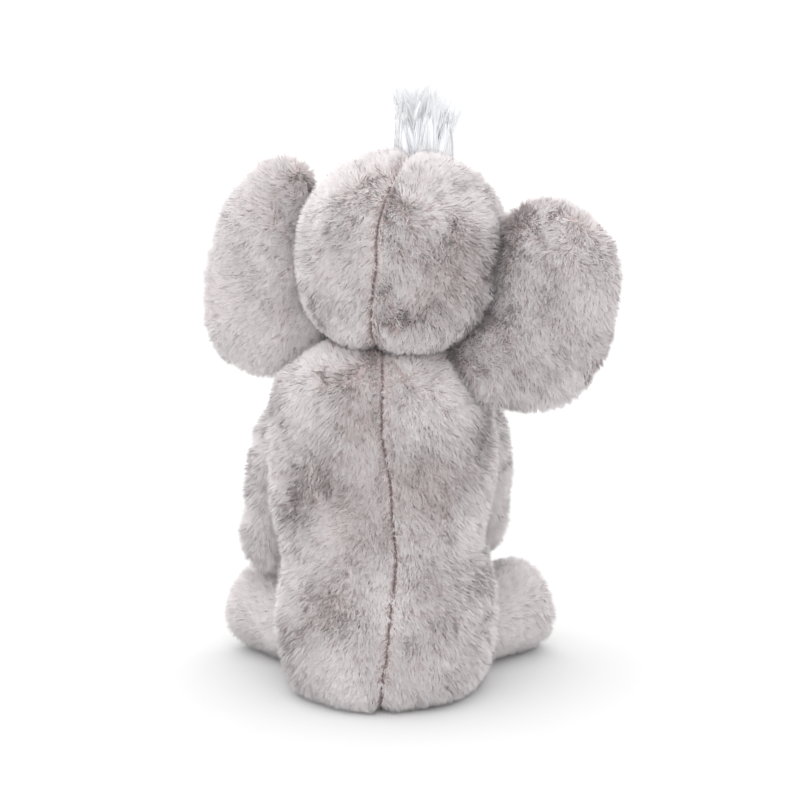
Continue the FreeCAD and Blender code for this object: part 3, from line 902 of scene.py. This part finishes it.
def build_tuft():
    """Long soft white hair sewn into the crown: pointed locks, with loose wavy strands."""
    rng = np.random.default_rng(171)
    wisps, per, parts, sides = 30, 45, 9, 12
    golden_angle = 2.4
    core_radius, core_height = 3.8, 0.8
    strand_radius, corners = 0.38, (0, 2.09, 4.19)
    angle = np.arange(wisps) * golden_angle
    reach = np.sqrt((np.arange(wisps) + 0.5) / wisps)
    across, deep = np.cos(angle) * reach, np.sin(angle) * reach
    root = np.stack([across * 10 - 2.5, deep * 7 - 12, np.full(wisps, 82.0)], 1)
    way = unit(np.stack([across * 0.02 + 0.04 + rng.normal(scale=0.04, size=wisps),
                         deep * 0.15 + rng.normal(scale=0.05, size=wisps), np.ones(wisps)], 1))
    tall = (42 - 6 * reach ** 2 + 4 * across) * rng.uniform(0.9, 1.06, wisps)
    curl = np.stack([rng.normal(scale=0.15, size=wisps), rng.normal(scale=0.2, size=wisps),
                     np.zeros(wisps)], 1)
    s = np.linspace(0, 1, parts + 1)[None, :, None]

    def along(own, shift, grown):
        """Points up each lock's curve, offset by shift, which closes in towards the tip."""
        spine = root[own][:, None] + (way[own] * tall[own][:, None])[:, None] * s * grown
        spine = spine + (curl[own] * tall[own][:, None])[:, None] * (s * grown) ** 2
        return spine + shift[:, None] * (1 - 0.75 * s ** 2.5)

    locks = np.arange(wisps)
    ridged = 1 + 0.09 * rng.normal(size=(wisps, sides))
    ring = np.arange(sides) / sides * 2 * math.pi
    core = np.stack([along(locks, np.stack([np.cos(a) * core_radius * ridged[:, j],
                                            np.sin(a) * core_radius * ridged[:, j],
                                            np.zeros(wisps)], 1), core_height)
                     for j, a in enumerate(ring)], 2)
    hair_mesh("hair_tuft_locks", core, rng.uniform(0.3, 1, wisps))

    own = np.repeat(locks, per)
    total = len(own)
    spin = rng.uniform(0, 2 * math.pi, total)
    off = rng.uniform(2.8, 5.0, total)
    shift = np.stack([np.cos(spin) * off, np.sin(spin) * off, np.zeros(total)], 1)
    grown = rng.uniform(0.7, 1.12, (total, 1, 1))
    phase = rng.uniform(0, 2 * math.pi, (total, 1, 1))
    ripple = unit(rng.normal(size=(total, 3)) * [1, 1, 0.1]) * rng.uniform(0.1, 0.5, (total, 1))
    spine = along(own, shift, grown)
    spine = spine + ripple[:, None] * np.sin(s * 7 + phase) * (0.3 + s)
    outward = unit(shift)
    flat = np.cross(way[own], outward)
    strand = np.stack([spine + (outward * math.cos(a) + flat * math.sin(a))[:, None]
                       * strand_radius * (1 - 0.8 * s) for a in corners], 2)
    hair_mesh("hair_tuft_strands", strand, rng.uniform(0.1, 1, total))


def hair_mesh(name, points, tint):
    """White hair on the head, from points in mm: for each strand, rings up its length.  Each
    strand has its own tint."""
    count, rows, sides = points.shape[:3]
    parts = rows - 1
    first = np.arange(count)[:, None, None] * rows * sides
    first = first + np.arange(parts)[None, :, None] * sides + np.arange(sides)
    right = first + np.where(np.arange(sides) == sides - 1, 1 - sides, 1)
    quads = np.stack([first, right, right + sides, first + sides], -1).reshape(-1, 4)
    world = HEAD.points(points.reshape(-1, 3) * MM)
    mesh = bpy.data.meshes.new(name)
    mesh.vertices.add(len(world))
    mesh.loops.add(quads.size)
    mesh.polygons.add(len(quads))
    mesh.vertices.foreach_set("co", world.astype(np.float32).reshape(-1))
    mesh.loops.foreach_set("vertex_index", quads.astype(np.int32).reshape(-1))
    mesh.polygons.foreach_set("loop_start", (np.arange(len(quads)) * 4).astype(np.int32))
    mesh.update(calc_edges=True)
    shade = np.repeat(tint, parts * sides)[:, None] * 0.98 + 0.01
    low = np.tile(np.repeat(np.arange(parts) / parts, sides), count)[:, None]
    u = shade + np.array([-0.004, 0.004, 0.004, -0.004])
    v = (low + np.array([0, 0, 1, 1]) / parts) * 0.98
    layer = mesh.uv_layers.new(name="OFBake")
    layer.data.foreach_set("uv", np.stack([u, v], -1).astype(np.float32).reshape(-1))
    mesh.polygons.foreach_set("use_smooth", np.ones(len(quads), bool))
    mesh.materials.append(WHITE_HAIR)
    obj = bpy.data.objects.new(name, mesh)
    bpy.context.collection.objects.link(obj)
    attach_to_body(obj, "head")
    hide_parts("hair_tuft")


# ---------------------------------------------------------------- the CAD's own hard parts
def speckled_material(name, dark, light, rough, size, depth, coat=0.0):
    """Moulded plastic or woven cloth: mottled colour, with the same pattern in its bump."""
    mat, tree, shader = new_material(name)
    where = tree.nodes.new("ShaderNodeTexCoord")
    grain = tree.nodes.new("ShaderNodeTexNoise")
    grain.inputs["Scale"].default_value = size
    grain.inputs["Detail"].default_value = 4
    tree.links.new(where.outputs["Object"], grain.inputs["Vector"])
    ramp = tree.nodes.new("ShaderNodeValToRGB")
    ramp.color_ramp.elements[0].color = (*dark, 1)
    ramp.color_ramp.elements[1].color = (*light, 1)
    tree.links.new(grain.outputs[0], ramp.inputs[0])
    tree.links.new(ramp.outputs[0], shader.inputs["Base Color"])
    bump = tree.nodes.new("ShaderNodeBump")
    bump.inputs["Strength"].default_value = 0.3
    bump.inputs["Distance"].default_value = depth
    tree.links.new(grain.outputs[0], bump.inputs["Height"])
    tree.links.new(bump.outputs[0], shader.inputs["Normal"])
    shader.inputs["Roughness"].default_value = rough
    shader.inputs["Coat Weight"].default_value = coat
    return mat


def finish_hard_parts():
    """Eyes, washers, pellets and their pouch keep their CAD shapes and get their materials."""
    eye = speckled_material("eye_gloss", (0.006, 0.005, 0.005), (0.016, 0.013, 0.012), 0.16, 300,
                            0.00002, 0.15)
    washer = speckled_material("washer_plastic", (0.72, 0.72, 0.70), (0.82, 0.82, 0.80), 0.4,
                               500, 0.00005)
    pellet = speckled_material("pellet_plastic_grain", (0.66, 0.66, 0.64), (0.84, 0.84, 0.82),
                               0.35, 350, 0.0001)
    pouch = speckled_material("pouch_weave", (0.58, 0.56, 0.52), (0.78, 0.76, 0.72), 0.9, 900,
                              0.0004)
    finishes = {"eye_left": eye, "eye_right": eye, "eye_washer_left": washer,
                "eye_washer_right": washer, "pellets": pellet, "pellet_pouch": pouch}
    for node, material in finishes.items():
        obj = bpy.data.objects[node]
        for slot in obj.material_slots:
            slot.material = material


# ---------------------------------------------------------------- stage
def build_stage():
    floor_mat, tree, shader = new_material("floor_paper")
    shader.inputs["Base Color"].default_value = (0.68, 0.68, 0.68, 1)
    shader.inputs["Roughness"].default_value = 0.9
    size = 30.0
    floor = mesh_object("floor", [(-size, -size, 0), (size, -size, 0), (size, size, 0),
                                  (-size, size, 0)], [(0, 1, 2, 3)], floor_mat, smooth=False)
    scene = bpy.context.scene
    world = bpy.data.worlds.new("studio")
    world.use_nodes = True
    world.node_tree.nodes["Background"].inputs[0].default_value = (1, 1, 1, 1)
    world.node_tree.nodes["Background"].inputs[1].default_value = 1.5
    scene.world = world
    scene.view_settings.view_transform = "Standard"
    sun = bpy.data.lights.new("sky_panel", "SUN")
    sun.energy = 0.8
    sun.angle = math.radians(90)
    panel = bpy.data.objects.new("sky_panel", sun)
    panel.rotation_euler = Vector((0.35, 0.3, 1.0)).to_track_quat("Z", "Y").to_euler()
    bpy.context.collection.objects.link(panel)

    data = bpy.data.cameras.new("camera")
    data.lens = 113
    cam = bpy.data.objects.new("camera", data)
    aim = Vector((-0.0067, 0, 0.142))
    rise = math.radians(13)
    cam.location = aim + Vector((0, math.cos(rise), math.sin(rise))) * 1.2
    cam.rotation_euler = (aim - cam.location).to_track_quat("-Z", "Y").to_euler()
    bpy.context.collection.objects.link(cam)
    scene.camera = cam


EYES = [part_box("eye_left"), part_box("eye_right")]
build_torso()
build_head()
build_neck()
build_trunk()
build_ears()
build_arms()
build_legs()
build_tuft()
finish_hard_parts()
build_stage()
